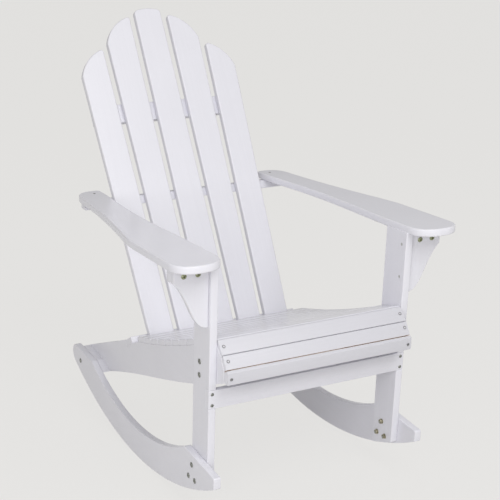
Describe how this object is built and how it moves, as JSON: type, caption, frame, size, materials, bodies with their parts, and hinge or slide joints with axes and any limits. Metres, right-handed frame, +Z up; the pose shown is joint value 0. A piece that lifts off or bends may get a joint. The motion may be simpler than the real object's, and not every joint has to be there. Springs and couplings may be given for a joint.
{
  "type": "adirondack chair",
  "caption": "White painted adirondack rocking chair of flat boards: slatted scooped seat, fanned slat back, wide tapered arms on curved brackets, and bow rockers bolted outside the front legs.",
  "frame": {"origin": "on the floor, under the middle of the chair's box", "axes": "+X towards the right-hand arm as seen from the front, +Y from the front of the chair to its back, +Z up"},
  "size_m": [0.719, 1.0103, 1.089],
  "materials": {
    "white_board": "satin white paint",
    "dark_bolt": "dark bronze, low gloss",
    "brass_bolt": "dull yellow passivate",
    "zinc_screw": "dull zinc plate",
    "painted_screw": "painted over in white"
  },
  "bodies": {
    "root": {"left_front_leg": "white_board", "right_front_leg": "white_board", "left_stringer": "white_board", "right_stringer": "white_board", "left_rocker": "white_board", "right_rocker": "white_board", "left_rocker_spacer": "white_board", "right_rocker_spacer": "white_board", "left_arm": "white_board", "right_arm": "white_board", "left_arm_bracket": "white_board", "right_arm_bracket": "white_board", "left_arm_block": "white_board", "right_arm_block": "white_board", "front_apron": "white_board", "upper_front_board": "white_board", "middle_front_board": "white_board", "lower_front_board": "white_board", "wide_seat_board": "white_board", "seat_slat_1": "white_board", "seat_slat_2": "white_board", "seat_slat_3": "white_board", "seat_slat_4": "white_board", "seat_slat_5": "white_board", "seat_slat_6": "white_board", "seat_slat_7": "white_board", "seat_slat_8": "white_board", "seat_slat_9": "white_board", "back_slat_1": "white_board", "back_slat_2": "white_board", "back_slat_3": "white_board", "back_slat_4": "white_board", "back_slat_5": "white_board", "upper_back_brace": "white_board", "arm_rail": "white_board", "back_cleat": "white_board", "lower_back_rail": "white_board", "stringer_bolts": "dark_bolt", "rocker_front_bolts": "dark_bolt", "rocker_rear_bolts": "dark_bolt", "apron_screws": "dark_bolt", "arm_screws": "dark_bolt", "bracket_bolts": "brass_bolt", "bolt_washers": "zinc_screw", "bolt_nuts": "zinc_screw", "bracket_screws": "zinc_screw", "front_board_screws": "zinc_screw", "brace_screws": "zinc_screw", "arm_rail_screws": "zinc_screw", "back_cleat_screws": "zinc_screw", "lower_rail_screws": "zinc_screw", "seat_slat_screws": "painted_screw"}
  },
  "joints": []
}
